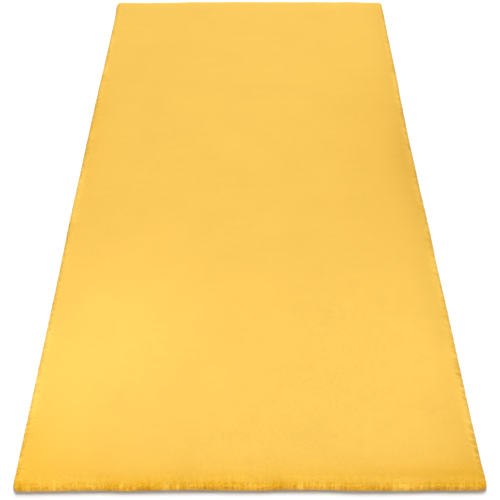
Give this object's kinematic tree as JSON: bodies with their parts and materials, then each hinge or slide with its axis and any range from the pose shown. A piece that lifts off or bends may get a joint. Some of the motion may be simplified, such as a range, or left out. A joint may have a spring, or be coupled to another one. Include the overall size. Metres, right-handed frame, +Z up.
{
  "type": "faux fur rug",
  "caption": "Flat rectangular rug of short dense faux fur pile on a cloth back, with softly rounded corners and small locks of pile all round its cut edge.",
  "frame": {"origin": "on the floor, under the middle of the rug's cloth back", "axes": "+X across the rug, +Y along its length and away from the end that the picture shows nearest, +Z up from the floor into the pile"},
  "size_m": [0.8168, 1.514, 0.0204],
  "materials": {
    "pile": "soft matt golden yellow plush pile with a faint sheen"
  },
  "bodies": {
    "root": {"rug": "pile"}
  },
  "joints": []
}
